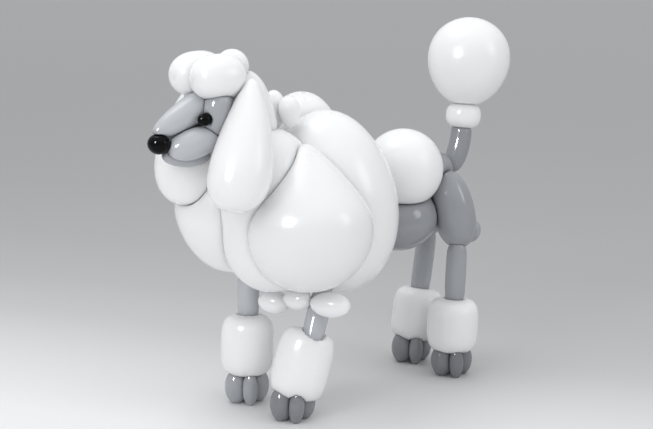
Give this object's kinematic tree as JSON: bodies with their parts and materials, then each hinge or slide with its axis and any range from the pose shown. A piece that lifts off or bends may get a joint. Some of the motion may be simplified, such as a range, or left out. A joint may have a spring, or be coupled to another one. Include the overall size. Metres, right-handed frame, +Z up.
{
  "type": "balloon poodle",
  "caption": "Standing poodle twisted from latex balloons: white mane, ears, topknot, leg puffs and ball tail, grey body and a black nose.",
  "frame": {"origin": "on the floor under the middle of the bounding box", "axes": "+Z up, the poodle faces -Y, +X is its left side"},
  "size_m": [0.2639, 0.5008, 0.4192],
  "materials": {
    "white_latex": "gloss",
    "grey_latex": "gloss",
    "black_latex": "gloss"
  },
  "bodies": {
    "root": {"nose": "black_latex", "eye_left": "black_latex", "eye_right": "black_latex", "muzzle_bridge": "grey_latex", "cheek_left": "grey_latex", "cheek_right": "grey_latex", "jaw": "grey_latex", "temple_left": "grey_latex", "temple_right": "grey_latex", "nape": "white_latex", "topknot_left": "white_latex", "topknot_right": "white_latex", "topknot_rear": "white_latex", "ear_left": "white_latex", "ear_right": "white_latex", "scruff_left": "white_latex", "scruff_right": "white_latex", "mane_front_left": "white_latex", "mane_front_right": "white_latex", "mane_middle_left": "white_latex", "mane_middle_right": "white_latex", "mane_rear_left": "white_latex", "mane_rear_right": "white_latex", "chest_right": "white_latex", "chest_middle": "white_latex", "chest_left": "white_latex", "rump_ball": "white_latex", "loin": "grey_latex", "rump": "grey_latex", "thigh_left": "grey_latex", "thigh_right": "grey_latex", "hock_left": "grey_latex", "hock_right": "grey_latex", "tail_tube": "grey_latex", "tail_collar": "white_latex", "tail_pompom": "white_latex", "leg_fore_left": "grey_latex", "puff_fore_left": "white_latex", "toe_fore_left_middle": "grey_latex", "toe_fore_left_inner": "grey_latex", "toe_fore_left_rear": "grey_latex", "toe_fore_left_outer": "grey_latex", "leg_fore_right": "grey_latex", "puff_fore_right": "white_latex", "toe_fore_right_middle": "grey_latex", "toe_fore_right_inner": "grey_latex", "toe_fore_right_rear": "grey_latex", "toe_fore_right_outer": "grey_latex", "leg_hind_left": "grey_latex", "puff_hind_left": "white_latex", "toe_hind_left_middle": "grey_latex", "toe_hind_left_inner": "grey_latex", "toe_hind_left_rear": "grey_latex", "toe_hind_left_outer": "grey_latex", "leg_hind_right": "grey_latex", "puff_hind_right": "white_latex", "toe_hind_right_middle": "grey_latex", "toe_hind_right_inner": "grey_latex", "toe_hind_right_rear": "grey_latex", "toe_hind_right_outer": "grey_latex"}
  },
  "joints": []
}
